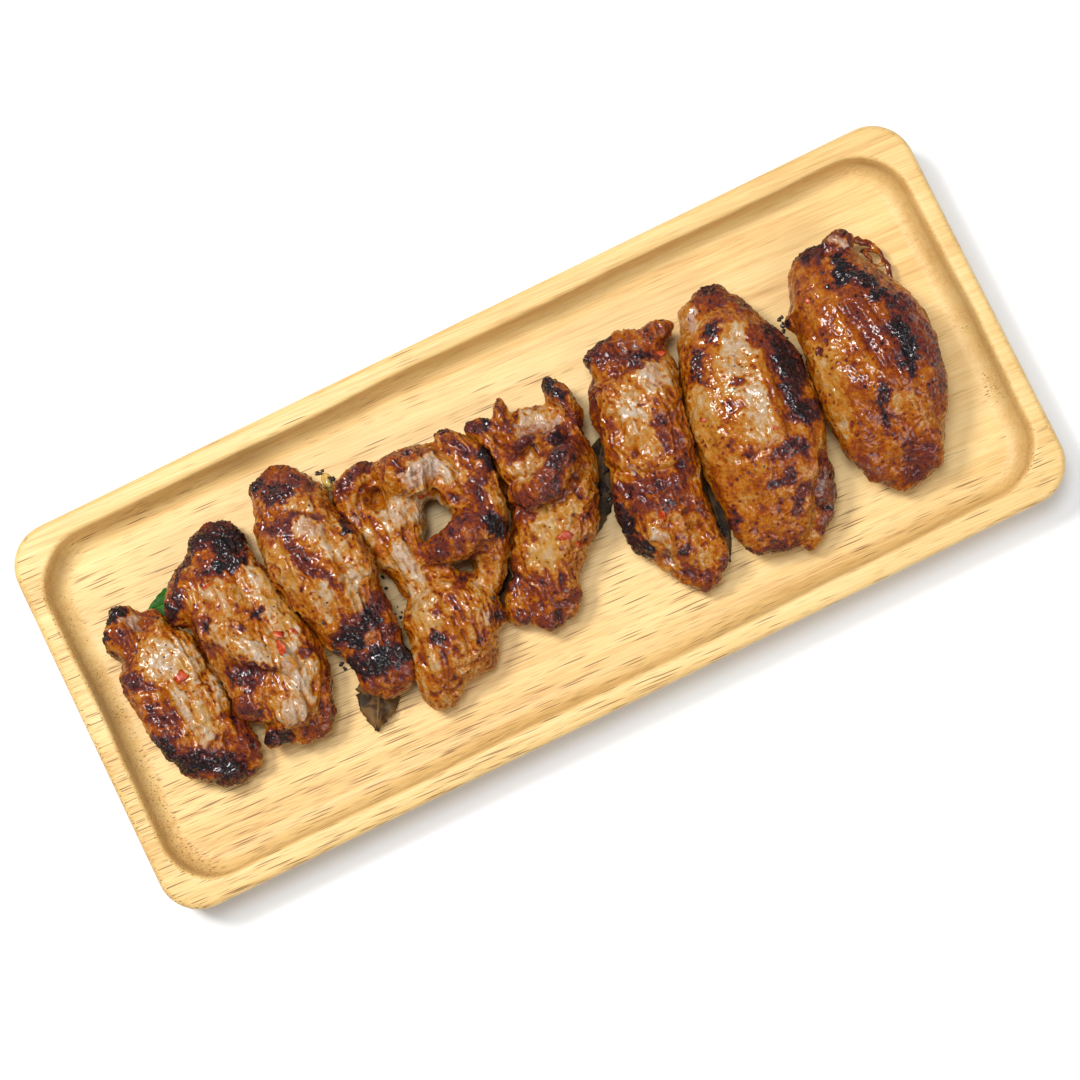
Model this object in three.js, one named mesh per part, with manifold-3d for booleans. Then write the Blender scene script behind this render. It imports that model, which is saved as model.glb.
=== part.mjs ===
import * as THREE from "three";
import { mergeVertices } from "three/addons/utils/BufferGeometryUtils.js";
import Module from "manifold-3d";

// A serving of eight roast chicken wings, four flats and four drumettes, laid side by side in a
// shallow wooden tray, with a few wilted leaf scraps caught under them.
// Millimetres, +Z up. The origin is the centre of the tray's underside, +X runs along the tray
// and its near long side faces -Y.

const wasm = await Module();
wasm.setup();

const tray = {
  length: 300,
  width: 126,
  thickness: 18,
  cornerRadius: 13,
  edgeRounding: 1.4,
};
const recess = {
  length: 287,
  width: 112,
  cornerRadius: 17,
  depth: 10,
  cove: 6.5, // radius of the hollow curve between the wall and the floor
  cornerSteps: 4,
  waver: 0.45, // how far the hand-finished wall wanders either way
  waverStep: 26, // longest straight piece of the wall
};
const floorZ = tray.thickness - recess.depth;
const clearance = 0.3; // between pieces that touch
const squeeze = 0.5; // between wings that press against each other

const bodyDetail = { around: 14, along: 13 };
const foldDetail = { around: 8, along: 6 };
const knuckleDetail = { around: 8, along: 5 };
const bellyShare = 0.42; // height of the widest line, as a share of a mass's thickness
const endBluntness = 2.7; // 2 gives an elliptical end, more gives a squarer one
const sectionFullness = 0.86; // under 1 fills out the corners of the cross-section

const looks = {
  wood: { color: 0xe3bd7d, roughness: 0.6 },
  roastSkin: { color: 0x9a4a18, roughness: 0.35 },
  freshLeaf: { color: 0x2f6a22, roughness: 0.5 },
  wiltedLeaf: { color: 0x4a3c1c, roughness: 0.6 },
  fat: { color: 0xd8b25a, roughness: 0.3 },
};

// Wings from left to right. A mass is a rounded length of meat or skin through its stations,
// each [x, y, width, top] or [x, y, width, top, underside], with heights above the tray's floor.
// The first mass is the body, the others are folds, flaps and torn ends. A knuckle is a round
// bone end, { at: [x, y, height], size: [x, y, z] }. A wing gives way to those in yieldsTo.
const wings = {
  flat_1: {
    masses: [
      [[-120.5, 27, 17, 13], [-121.5, 13, 27, 17], [-120.5, -4, 27, 18], [-118, -17, 29, 17], [-110.5, -33.5, 21, 11]],
      [[-134, 17, 8, 12], [-128.5, 22, 12, 16], [-122.5, 28, 8, 13]],
      [[-131.5, 6, 6, 12, 2], [-129, -8, 9, 19, 4], [-127.5, -21, 9, 16, 4]],
    ],
    knuckles: [
      { at: [-126, 28.5, 7], size: [8, 6, 9] },
    ],
    yieldsTo: ["flat_2"],
  },
  flat_2: {
    masses: [
      [[-88, 41.5, 20, 14], [-94, 24, 29, 20], [-93, 6, 31, 22], [-90.5, -12, 32, 21], [-88.5, -32.5, 27, 14]],
      [[-104, 22, 10, 19, 6], [-100, 8, 14, 26, 8], [-91, -6, 12, 25, 8], [-85, -16, 8, 21, 8]],
      [[-100, 34, 9, 14, 3], [-107.5, 25, 11, 17, 4], [-112, 16, 7, 13, 3]],
    ],
    knuckles: [
      { at: [-101, -13, 12], size: [13, 15, 16] },
      { at: [-92, -21, 14], size: [16, 12, 12] },
      { at: [-100, -26, 8], size: [9, 6, 10] },
    ],
    yieldsTo: ["drumette_3"],
  },
  drumette_3: {
    masses: [
      [[-67, 48.5, 20, 16], [-67, 31, 26, 25], [-65.5, 13, 29, 27], [-62.5, -8, 23, 21], [-61.5, -31, 21, 16]],
      [[-77, 26, 7, 18, 3], [-74, 6, 8, 15, 3], [-71, -14, 6, 12, 3]],
      [[-56, 26, 8, 24, 8], [-55, 10, 11, 26, 8], [-56, -2, 7, 20, 8]],
    ],
    knuckles: [
      { at: [-72.5, 42.5, 9], size: [8, 9, 12] },
      { at: [-57, 34, 9], size: [7, 9, 11] },
    ],
    yieldsTo: [],
  },
  drumette_4: {
    masses: [
      [[-36, 0, 18, 14], [-36.5, -12, 30, 20], [-39.5, -22, 29, 19], [-48, -32, 18, 15], [-50, -40.5, 15, 11]],
      [[-42, 30, 14, 18], [-30, 27.5, 18, 25], [-17, 24, 18, 20]],
      [[-54.5, 27, 9, 14], [-47, 31, 12, 18], [-38.5, 36.5, 7, 14]],
      [[-52, 30, 10, 16], [-46.5, 16, 11, 16], [-45, -3, 8, 13]],
      [[-33, 27, 24, 20], [-39.5, 12, 15, 18], [-42.5, 1, 13, 16], [-39, -10, 16, 15]],
      [[-19, 29, 14, 21], [-17, 5, 12, 19, 4]],
      [[-7, 28, 8, 18, 3], [-11.5, 12, 13, 23, 6], [-16, -1, 13, 20, 2], [-24, -16, 12, 16]],
      [[-9, 8, 12, 24, 10], [-20, 3, 14, 26, 11], [-30, 2.5, 11, 23, 9], [-39, 3, 5, 17, 9]],
      [[-16, 37, 8, 12, 4], [-13.5, 30, 8, 17, 5], [-8, 23, 8, 20, 6]],
      [[-32, -20, 13, 15], [-31.5, -29, 8, 12], [-33, -36, 5, 8, 2]],
    ],
    knuckles: [
      { at: [-24.5, -21, 7], size: [7, 11, 11] },
      { at: [-50, 7, 8], size: [6, 4, 4] },
    ],
    yieldsTo: ["drumette_3"],
  },
  drumette_5: {
    masses: [
      [[9, 31, 27, 17], [8, 16, 34, 22], [5, 0, 29, 21], [-4, -14, 23, 17], [-10, -33.5, 21, 12]],
      [[-6, 4, 9, 23, 10], [4, 6, 15, 28, 12], [12, 11, 14, 28, 12], [20, 14, 8, 24, 10]],
      [[-8.5, 34.5, 5, 12, 4], [-4, 28, 13, 16, 2], [-4, 14, 12, 19, 3]],
      [[19.5, 36, 4, 13, 6], [21, 29, 8, 20, 3], [22.5, 18, 8, 22, 3]],
      [[4.5, 38, 2.5, 12, 8], [3.5, 33, 5, 16, 5], [2, 25, 6, 20, 6]],
      [[2, 17, 5, 25, 14], [6, 20.5, 5, 27, 15], [9, 22, 4, 26, 18]],
      [[-14, -14, 7, 13], [-18.5, -24, 8, 11], [-19, -28, 6, 9]],
      [[17, 6, 9, 18, 4], [13, -3, 8, 14, 3], [6, -11, 6, 11, 2]],
    ],
    knuckles: [],
    hollows: [
      { at: [11, 23, 22], size: [16, 10, 14] },
    ],
    yieldsTo: ["drumette_4"],
  },
  drumette_6: {
    masses: [
      [[46, 39.5, 27, 17], [42.5, 20, 32, 25], [39.5, 2, 25, 23], [34.5, -18, 28, 20], [37.5, -44, 17, 11]],
      [[29, 24, 8, 18, 3], [30, 6, 7, 20, 4], [24, -10, 8, 15, 2], [23, -26, 6, 10, 2]],
      [[44, -8, 8, 20, 6], [43.5, -22, 8, 18, 4], [42.5, -39, 6, 12, 3]],
    ],
    knuckles: [
      { at: [54, 33.5, 11], size: [16, 9, 14] },
      { at: [37.5, 34, 11], size: [14, 8, 13] },
      { at: [31, -23, 12], size: [9, 11, 15] },
    ],
    yieldsTo: ["drumette_5", "flat_7"],
  },
  flat_7: {
    masses: [
      [[75.5, 40.5, 20, 15], [73, 22, 32, 24], [71, 2, 39, 28], [67.5, -20, 40, 26], [61, -43, 35, 15]],
      [[84, -18, 8, 14, 2], [79, -32, 10, 14, 2], [67, -47, 6, 9, 2]],
      [[85, 24, 7, 17, 3], [87, 8, 9, 20, 4], [86, -10, 8, 18, 4]],
    ],
    knuckles: [
      { at: [69, 34, 9], size: [12, 8, 12] },
      { at: [78, -36.5, 8], size: [8, 7, 10] },
    ],
    yieldsTo: [],
  },
  flat_8: {
    masses: [
      [[108, 37, 25, 16], [109, 20, 32, 25], [110.5, 2, 40, 28], [108, -18, 40, 26], [104, -42.5, 29, 13]],
      [[98, 24, 8, 17, 4], [96, 4, 8, 17, 4], [94, -20, 8, 14, 3]],
    ],
    knuckles: [
      { at: [117, 34, 10], size: [11, 8, 10] },
      { at: [94.5, 18.5, 9], size: [6, 7, 8] },
    ],
    yieldsTo: ["flat_7"],
  },
};

// Leaf scraps lie on the tray's floor. Each tapers along its spine from [x, y] to [x, y].
const leafThickness = 1.1;
const leaves = {
  leaf_fresh: { from: [-119, 26], to: [-101, 25], width: 9.5, look: "freshLeaf" },
  leaf_wilted: { from: [-63, -20], to: [-73, -37], width: 14, look: "wiltedLeaf" },
  leaf_gap_4_5: { from: [-16, -8], to: [-25, -21], width: 9, look: "wiltedLeaf" },
  leaf_gap_5_6: { from: [7, -15], to: [29, 14], width: 13, look: "wiltedLeaf" },
  leaf_gap_6_7: { from: [51, -8], to: [46, -38], width: 7, look: "wiltedLeaf" },
};
const fatScrap = { at: [-53, 37, 4], size: [4.6, 8, 6] };

// A closed mesh as a manifold-3d solid.
function toSolid(geometry) {
  geometry.deleteAttribute("normal");
  geometry.deleteAttribute("uv");
  const merged = mergeVertices(geometry, 1e-4);
  return new wasm.Manifold(
    new wasm.Mesh({
      numProp: 3,
      vertProperties: merged.attributes.position.array,
      triVerts: new Uint32Array(merged.index.array),
    }),
  );
}

function toGeometry(solid) {
  const { vertProperties, triVerts } = solid.getMesh();
  return new THREE.BufferGeometry()
    .setAttribute("position", new THREE.BufferAttribute(vertProperties, 3))
    .setIndex(new THREE.BufferAttribute(triVerts, 1));
}

function toMesh(name, solid, look) {
  const mesh = new THREE.Mesh(toGeometry(solid), new THREE.MeshStandardMaterial(looks[look]));
  mesh.name = name;
  return mesh;
}

function join(solids) {
  return solids.reduce((whole, next) => whole.add(next));
}

// The piece that remains after cuts, without loose slivers.
function largestBody(solid) {
  return solid.decompose().reduce((best, next) => (next.volume() > best.volume() ? next : best));
}

function roundedRectangle(length, width, radius) {
  const x = length / 2;
  const y = width / 2;
  const outline = new THREE.Shape();
  outline.absarc(x - radius, y - radius, radius, 0, Math.PI / 2);
  outline.absarc(radius - x, y - radius, radius, Math.PI / 2, Math.PI);
  outline.absarc(radius - x, radius - y, radius, Math.PI, 1.5 * Math.PI);
  outline.absarc(x - radius, radius - y, radius, 1.5 * Math.PI, 2 * Math.PI);
  outline.closePath();
  return outline;
}

// The recess outline. Its wall wanders slightly in and out, as a hand-guided cutter leaves it.
function waveringOutline() {
  const plain = roundedRectangle(recess.length, recess.width, recess.cornerRadius).getPoints(recess.cornerSteps);
  const points = plain.flatMap((point, i) => {
    const next = plain[(i + 1) % plain.length];
    const pieces = Math.max(1, Math.round(point.distanceTo(next) / recess.waverStep));
    return Array.from({ length: pieces }, (_, k) => point.clone().lerp(next, k / pieces));
  });
  const wandering = points.map((point) => {
    const turn = point.angle();
    const wander = (Math.sin(5 * turn + 1) + Math.sin(9 * turn + 2)) / 2;
    return point.clone().addScaledVector(point.clone().normalize(), recess.waver * wander);
  });
  return new THREE.Shape(wandering);
}

function makeTray() {
  const rounding = tray.edgeRounding;
  const board = new THREE.ExtrudeGeometry(roundedRectangle(tray.length, tray.width, tray.cornerRadius), {
    depth: tray.thickness - 2 * rounding,
    bevelThickness: rounding,
    bevelSize: rounding,
    bevelOffset: -rounding,
    bevelSegments: 2,
    curveSegments: 5,
  }).translate(0, 0, rounding);
  const cutterReach = 5; // above the rim
  const cutter = new THREE.ExtrudeGeometry(waveringOutline(), {
    depth: recess.depth - recess.cove + cutterReach,
    bevelThickness: recess.cove,
    bevelSize: recess.cove,
    bevelOffset: -recess.cove,
    bevelSegments: 4,
  }).translate(0, 0, floorZ + recess.cove);
  return toSolid(board).subtract(toSolid(cutter));
}

const squareOff = (value) => Math.sign(value) * Math.abs(value) ** sectionFullness;

// A sphere drawn out along its stations: its poles are the two ends and its girth follows the sizes.
function makeMass(stations, detail, grow) {
  const route = new THREE.CatmullRomCurve3(stations.map(([x, y]) => new THREE.Vector3(x, y, 0)));
  const sizes = new THREE.CatmullRomCurve3(
    stations.map(([, , width, top, underside = 0]) => new THREE.Vector3(width, top, underside)),
    false,
    "catmullrom",
  );
  const shape = new THREE.SphereGeometry(1, detail.around, detail.along);
  const position = shape.getAttribute("position");
  const unit = new THREE.Vector3();
  for (let i = 0; i < position.count; i++) {
    unit.fromBufferAttribute(position, i);
    const ring = Math.sqrt(Math.max(0, 1 - unit.y ** 2));
    const side = ring > 1e-6 ? squareOff(unit.x / ring) : 0;
    const rise = ring > 1e-6 ? squareOff(unit.z / ring) : 0;
    const fullness = Math.max(0, 1 - Math.abs(unit.y) ** endBluntness) ** (1 / endBluntness);
    const share = (1 - unit.y) / 2;
    const centre = route.getPoint(share);
    const heading = route.getTangent(share);
    const { x: width, y: top, z: underside } = sizes.getPoint(share);
    const belly = underside + bellyShare * (top - underside);
    const halfWidth = (width / 2 + grow) * fullness * side;
    const reach = rise > 0 ? top - belly + grow : belly - underside + grow;
    centre.x -= heading.y * halfWidth;
    centre.y += heading.x * halfWidth;
    centre.addScaledVector(heading, -unit.y * grow);
    position.setXYZ(i, centre.x, centre.y, floorZ + clearance + belly + reach * fullness * rise);
  }
  return toSolid(shape);
}

function makeRound({ at: [x, y, height], size }, grow) {
  const shape = new THREE.SphereGeometry(0.5, knuckleDetail.around, knuckleDetail.along);
  shape.rotateX(Math.PI / 2);
  shape.scale(...size.map((span) => span + 2 * grow));
  return toSolid(shape.translate(x, y, floorZ + clearance + height));
}

function makeWing({ masses, knuckles, hollows = [] }, grow = 0) {
  const [body, ...folds] = masses;
  const whole = join([
    makeMass(body, bodyDetail, grow),
    ...folds.map((stations) => makeMass(stations, foldDetail, grow)),
    ...knuckles.map((knuckle) => makeRound(knuckle, grow)),
  ]);
  return grow ? whole : hollows.reduce((rest, hollow) => rest.subtract(makeRound(hollow, 0)), whole);
}

// A pointed oval scrap of leaf, lying flat.
function makeLeaf({ from, to, width }, grow = 0) {
  const [start, end] = [from, to].map(([x, y]) => new THREE.Vector2(x, y));
  const spine = end.clone().sub(start);
  const side = new THREE.Vector2(-spine.y, spine.x).setLength(width + 2 * grow);
  const middle = start.clone().add(end).divideScalar(2);
  const outline = new THREE.Shape();
  outline.moveTo(start.x, start.y);
  outline.quadraticCurveTo(middle.x - side.x, middle.y - side.y, end.x, end.y);
  outline.quadraticCurveTo(middle.x + side.x, middle.y + side.y, start.x, start.y);
  const blade = new THREE.ExtrudeGeometry(outline, {
    depth: leafThickness + 2 * grow,
    bevelEnabled: false,
    curveSegments: 6,
  });
  return toSolid(blade.translate(0, 0, floorZ + clearance - grow));
}

const serving = new THREE.Group();
serving.add(toMesh("tray", makeTray(), "wood"));

const leafRoom = join(Object.values(leaves).map((leaf) => makeLeaf(leaf, clearance)));
const scrapRoom = makeRound(fatScrap, clearance);
const floorPlane = toSolid(new THREE.BoxGeometry(tray.length, tray.width, floorZ + clearance)
  .translate(0, 0, (floorZ + clearance) / 2));
for (const [name, wing] of Object.entries(wings)) {
  const neighbours = wing.yieldsTo.map((other) => makeWing(wings[other], squeeze));
  const cuts = [leafRoom, scrapRoom, floorPlane, ...neighbours];
  const solid = cuts.reduce((rest, cut) => rest.subtract(cut), makeWing(wing));
  serving.add(toMesh(name, largestBody(solid), "roastSkin"));
}

for (const [name, leaf] of Object.entries(leaves)) {
  serving.add(toMesh(name, makeLeaf(leaf), leaf.look));
}
serving.add(toMesh("fat_scrap", makeRound(fatScrap, 0), "fat"));

export default serving;
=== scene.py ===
import math

import bmesh
import bpy
import numpy as np
from mathutils import Matrix, Vector, noise
from mathutils.bvhtree import BVHTree


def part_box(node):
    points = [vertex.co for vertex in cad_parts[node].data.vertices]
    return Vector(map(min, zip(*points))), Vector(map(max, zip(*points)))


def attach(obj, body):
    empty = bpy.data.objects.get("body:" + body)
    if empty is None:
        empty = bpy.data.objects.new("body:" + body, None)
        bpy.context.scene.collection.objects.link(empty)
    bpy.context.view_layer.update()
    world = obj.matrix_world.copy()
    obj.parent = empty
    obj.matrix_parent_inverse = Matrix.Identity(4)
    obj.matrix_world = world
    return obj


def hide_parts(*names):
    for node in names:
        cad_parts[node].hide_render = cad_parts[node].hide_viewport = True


# Roast chicken wings in a wooden serving tray. The tables give places in millimetres on the
# tray's plan, as seen from above its middle; meshes are in metres.
mm = 0.001

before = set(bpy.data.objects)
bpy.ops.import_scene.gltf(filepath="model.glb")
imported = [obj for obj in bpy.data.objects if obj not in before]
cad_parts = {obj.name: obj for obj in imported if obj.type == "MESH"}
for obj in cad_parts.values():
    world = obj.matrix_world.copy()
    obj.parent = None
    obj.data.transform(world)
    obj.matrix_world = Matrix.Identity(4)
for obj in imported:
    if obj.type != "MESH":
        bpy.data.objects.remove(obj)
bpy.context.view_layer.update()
trayLow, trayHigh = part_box("tray")
rimZ = trayHigh.z
recessDepth = 10 * mm
floorZ = rimZ - recessDepth
planEye = Vector((-12, -57, 716))  # the plan is read from here, so high places sit further out on it


class Wire:
    # A socket or a plain number in a shader, with arithmetic.
    def __init__(self, shade, source):
        self.shade = shade
        self.source = source

    def maths(self, operation, *others, clamp=False):
        return self.shade.put("Math", {"operation": operation, "use_clamp": clamp}, self, *others)

    def __add__(self, other):
        return self.maths("ADD", other)

    def __sub__(self, other):
        return self.maths("SUBTRACT", other)

    def __mul__(self, other):
        return self.maths("MULTIPLY", other)

    def __radd__(self, other):
        return Wire(self.shade, other) + self

    def __rsub__(self, other):
        return Wire(self.shade, other) - self

    def __rmul__(self, other):
        return Wire(self.shade, other) * self

    def __abs__(self):
        return self.maths("ABSOLUTE")

    def clamped(self):
        return self.maths("ADD", 0.0, clamp=True)

    def smooth(self, low, high):
        settings = {"interpolation_type": "SMOOTHSTEP"}
        return self.shade.put("MapRange", settings, self, low, high, 0.0, 1.0)


class Shade:
    # A material's node tree while it is being put together.
    def __init__(self, name):
        self.material = bpy.data.materials.new(name)
        self.material.use_nodes = True
        self.tree = self.material.node_tree
        self.tree.nodes.clear()

    def feed(self, socket, value):
        if isinstance(value, Wire):
            value = value.source
        if isinstance(value, bpy.types.NodeSocket):
            self.tree.links.new(value, socket)
        elif value is not None:
            socket.default_value = value

    def fillRamp(self, elements, stops):
        while len(elements) < len(stops):
            elements.new(0.5)
        for element, (position, colour) in zip(elements, stops):
            element.position = position
            element.color = (*colour, 1)

    def put(self, kind, settings, *values, output=0, **named):
        made = self.tree.nodes.new("ShaderNode" + kind)
        for key, value in settings.items():
            if key == "stops":
                self.fillRamp(made.color_ramp.elements, value)
            else:
                setattr(made, key, value)
        for socket, value in zip(made.inputs, values):
            self.feed(socket, value)
        for key, value in named.items():
            self.feed(made.inputs[key.replace("_", " ")], value)
        return Wire(self, made.outputs[output]) if made.outputs else None

    def attribute(self, name):
        return self.put("Attribute", {"attribute_name": name}, output=2)

    def place(self):
        return self.put("TexCoord", {}, output=3)

    def stretched(self, place, sizes, turn=0.0, shift=(0, 0, 0)):
        # Places for a pattern whose grains have these sizes in millimetres.
        turned = self.put("Mapping", {}, place, Rotation=(0, 0, turn))
        return self.put("Mapping", {}, turned, Location=shift, Scale=[1 / size / mm for size in sizes])

    def noise(self, place, detail=3.0, roughness=0.5, distortion=0.0):
        values = {"Scale": 1.0, "Detail": detail, "Roughness": roughness, "Distortion": distortion}
        return self.put("TexNoise", {}, place, **values)

    def cells(self, place, output=0):
        return self.put("TexVoronoi", {}, place, output=output, Scale=1.0)

    def mix(self, factor, first, second):
        # The colour sockets come after the number and vector ones.
        values = [factor, *[None] * 5, first, second]
        return self.put("Mix", {"data_type": "RGBA"}, *values, output=2)

    def ramp(self, factor, stops):
        return self.put("ValToRGB", {"stops": stops}, factor)

    def bump(self, height, distance, strength):
        return self.put("Bump", {}, Strength=strength, Distance=distance, Height=height)

    def finish(self, **values):
        self.put("OutputMaterial", {}, self.put("BsdfPrincipled", {}, **values))
        return self.material


woodFinish = {
    "grainTurn": 3,  # degrees off the tray's length
    "tones": [
        (0.05, (0.56, 0.30, 0.09)),
        (0.28, (0.71, 0.43, 0.145)),
        (0.52, (0.81, 0.53, 0.20)),
        (0.85, (0.87, 0.62, 0.27)),
    ],
    "pores": ((9, 0.45, 0.46, 0.5), (18, 0.66, 0.56, 1.0)),  # length, width, how rare, strength
    "poreColour": (0.20, 0.08, 0.02, 1),
    # Colours of the cove's painted shade, and of the darker end grain at its ends, where painted shade is
    # added too.
    "coveShadeColour": (0.32, 0.17, 0.045, 1),
    "endGrainAndShadeColour": (0.15, 0.065, 0.015, 1),
    "grainDepth": 0.12,
}


def rubberwood():
    shade = Shade("rubberwood")
    place = shade.place()
    grainTurn = math.radians(woodFinish["grainTurn"])
    cove = shade.attribute("cove")

    sway = shade.noise(shade.stretched(place, (70, 30, 30)), detail=2)
    broad = shade.noise(shade.stretched(place, (240, 9, 9), grainTurn), detail=2)
    stripePlace = shade.stretched(place, (90, 1.5, 1.5), grainTurn)
    stripe = shade.noise(stripePlace, detail=4, distortion=0.3)
    fibre = shade.noise(shade.stretched(place, (14, 0.35, 0.35), grainTurn), detail=2)

    tone = (broad - 0.5) * 0.8 + (stripe - 0.5) * 0.8 + (fibre - 0.5) * 1.1 + (sway - 0.5) * 0.5
    base = shade.ramp(tone + 0.5, woodFinish["tones"])

    # Short dark pores along the grain, crowded towards the near left corner.
    along = shade.put("SeparateXYZ", {}, place, output=0)
    across = shade.put("SeparateXYZ", {}, place, output=1)
    corner = along * -3.0 + across * -6.0
    crowding = shade.noise(shade.stretched(place, (60, 7, 7), grainTurn, (3, 5, 1)), detail=2)
    pore = 0.0
    for length, width, share, strength in woodFinish["pores"]:
        streak = shade.stretched(place, (length, width, width), grainTurn, (length, 0, 0))
        spot = shade.cells(streak)
        pick = shade.put("SeparateColor", {}, shade.cells(streak, 1))
        present = (pick + (crowding - 0.5) * 2.0 + corner).smooth(share, share + 0.25)
        pore = pore + (1 - spot.smooth(0.16, 0.36)) * present * strength
    pore = pore.clamped()
    base = shade.mix(pore * 0.85, base, woodFinish["poreColour"])

    # Painted shade in the cove, darkest against the wall and fading onto the floor, with darker end grain at
    # the ends.
    ends = cove.smooth(0.5, 1.0)
    base = shade.mix(cove.smooth(0.0, 0.6) * 0.2, base, woodFinish["coveShadeColour"])
    base = shade.mix(ends * 0.18, base, woodFinish["endGrainAndShadeColour"])
    relief = fibre * 0.5 + stripe * 0.5 - pore * 0.8
    return shade.finish(
        Base_Color=base,
        Roughness=0.46 + fibre * 0.16,
        Normal=shade.bump(relief, woodFinish["grainDepth"] * mm, 0.6),
        Coat_Weight=0.08,
        Coat_Roughness=0.3,
    )


skinFinish = {
    # From pale skin over amber and red-brown to char.
    "roast": [
        (0.0, (0.58, 0.48, 0.41)),
        (0.15, (0.52, 0.38, 0.26)),
        (0.27, (0.49, 0.28, 0.12)),
        (0.37, (0.45, 0.185, 0.022)),
        (0.47, (0.41, 0.115, 0.001)),
        (0.57, (0.29, 0.055, 0.0)),
        (0.68, (0.175, 0.026, 0.007)),
        (0.79, (0.105, 0.017, 0.015)),
        (0.90, (0.028, 0.008, 0.008)),
        (1.0, (0.008, 0.006, 0.008)),
    ],
    "flesh": [
        (0.36, (0.24, 0.11, 0.07)),
        (0.48, (0.48, 0.29, 0.19)),
        (0.64, (0.60, 0.47, 0.39)),
    ],
    "fat": [(0.3, (0.42, 0.17, 0.006)), (0.7, (0.55, 0.31, 0.06))],
    "skinDepth": 0.45,
    "coatRoughness": 0.07,
    "glowDepth": 1.4,  # how deep light soaks in
}


def roastSkin():
    shade = Shade("roast_skin")
    place = shade.place()
    tone = shade.attribute("tone")
    flesh = shade.attribute("flesh")
    fat = shade.attribute("fat")

    # Uneven browning, from broad blotches down to grain, with speckles, and juice pooled in the hollows of
    # the skin's relief; the hollows are also darkened as painted shade and the ridges paled as painted
    # highlights.
    mottle = shade.noise(shade.stretched(place, (3.2,) * 3), detail=4, roughness=0.6, distortion=0.8)
    grain = shade.noise(shade.stretched(place, (0.8,) * 3, shift=(4, 9, 2)), detail=3, roughness=0.6)
    blotch = shade.noise(shade.stretched(place, (6.0,) * 3, shift=(7, 1, 5)), detail=2)
    middle = (1 - abs(tone - 0.5) * 1.6).clamped()
    spread = 0.72 - tone * 0.25 + middle * 0.05
    specklePlace = shade.stretched(place, (1.9,) * 3, shift=(5, 3, 1))
    speckleSpots = shade.cells(specklePlace) + (grain - 0.5) * 0.9
    specklePick = shade.put("SeparateColor", {}, shade.cells(specklePlace, 1))
    speckle = (1 - speckleSpots.smooth(0.16, 0.42)) * (specklePick + mottle).smooth(1.0, 1.3)
    reliefJuiceAndShade = shade.noise(shade.stretched(place, (1.8,) * 3, shift=(1, 6, 3)), detail=4, distortion=2.0)
    roast = tone + ((mottle - 0.5) * 0.9 + (grain - 0.5) * 0.6 + (blotch - 0.5) * 0.7) * spread
    # Darker in the hollows of the bump relief and paler on its ridges: juice pooling, together with painted
    # shade in the hollows and painted highlights on the ridges.
    roast = roast + (0.5 - reliefJuiceAndShade) * (0.5 - tone * 0.2) + speckle * 0.34 * (1 - tone.smooth(0.55, 0.9))
    colour = shade.ramp(roast * 0.8 + 0.2, skinFinish["roast"])

    # Bare meat and yellow fat show through where the skin isn't browned.
    veinPlace = shade.stretched(place, (1.6, 3, 3), shift=(2, 2, 8))
    veins = shade.noise(veinPlace, detail=3, distortion=1.2)
    fleshColour = shade.ramp(veins, skinFinish["flesh"])
    fatColour = shade.ramp(mottle, skinFinish["fat"])
    fleshCover = (flesh * 0.95 + (mottle - 0.5) * 1.4 + (grain - 0.5) * 0.8).smooth(0.3, 0.75)
    fleshCover = fleshCover * flesh.smooth(0.0, 0.3)
    colour = shade.mix(fleshCover * 0.75 * (1 - tone.smooth(0.5, 0.95)), colour, fleshColour)
    colour = shade.mix(fat * 0.7 * (1 - roast.smooth(0.35, 0.6)), colour, fatColour)

    crisp = tone.smooth(0.45, 0.9)
    pimple = shade.noise(shade.stretched(place, (0.5,) * 3), detail=2, roughness=0.6)
    creasePlace = shade.stretched(place, (1.4,) * 3, shift=(8, 3, 6))
    crease = 1 - abs(shade.noise(creasePlace, detail=3, distortion=1.5) - 0.5).smooth(0.0, 0.12)
    relief = pimple * (0.34 - crisp * 0.1) + reliefJuiceAndShade * (0.7 + crisp * 0.5) - crease * 0.22
    normal = shade.bump(relief, skinFinish["skinDepth"] * mm, 0.85)
    return shade.finish(
        Base_Color=colour,
        Roughness=0.24 + (reliefJuiceAndShade - 0.5) * 0.3,
        Normal=normal,
        Coat_Weight=(0.3 + (reliefJuiceAndShade - 0.38).clamped() * 3.4).clamped(),
        Coat_Roughness=skinFinish["coatRoughness"],
        Specular_IOR_Level=0.15,
        Subsurface_Weight=0.12,
        Subsurface_Radius=(1.0, 0.35, 0.15),
        Subsurface_Scale=skinFinish["glowDepth"] * mm,
        IOR=1.46,
    )


def leafSkin(name, dark, light, vein):
    shade = Shade(name)
    place = shade.place()
    patches = shade.noise(shade.stretched(place, (3.5,) * 3), detail=4, distortion=0.5)
    colour = shade.mix(patches.smooth(0.35, 0.65), (*dark, 1), (*light, 1))
    colour = shade.mix(shade.attribute("rib").smooth(0.55, 0.95) * 0.6, colour, (*vein, 1))
    return shade.finish(
        Base_Color=colour,
        Roughness=0.55,
        Specular_IOR_Level=0.2,
        Normal=shade.bump(patches, 0.3 * mm, 0.5),
    )


def plainSkin(name, dark, light, roughness=0.35, coat=0.3, size=0.8):
    shade = Shade(name)
    patches = shade.noise(shade.stretched(shade.place(), (size,) * 3), detail=3)
    return shade.finish(
        Base_Color=shade.mix(patches.smooth(0.35, 0.65), (*dark, 1), (*light, 1)),
        Roughness=roughness,
        Coat_Weight=coat,
        Coat_Roughness=0.12,
        Normal=shade.bump(patches, 0.15 * mm, 0.5),
    )


def addObject(name, mesh, material):
    piece = bpy.data.objects.new(name, mesh)
    bpy.context.collection.objects.link(piece)
    mesh.materials.clear()
    mesh.materials.append(material)
    for polygon in mesh.polygons:
        polygon.use_smooth = True
    return piece


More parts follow.
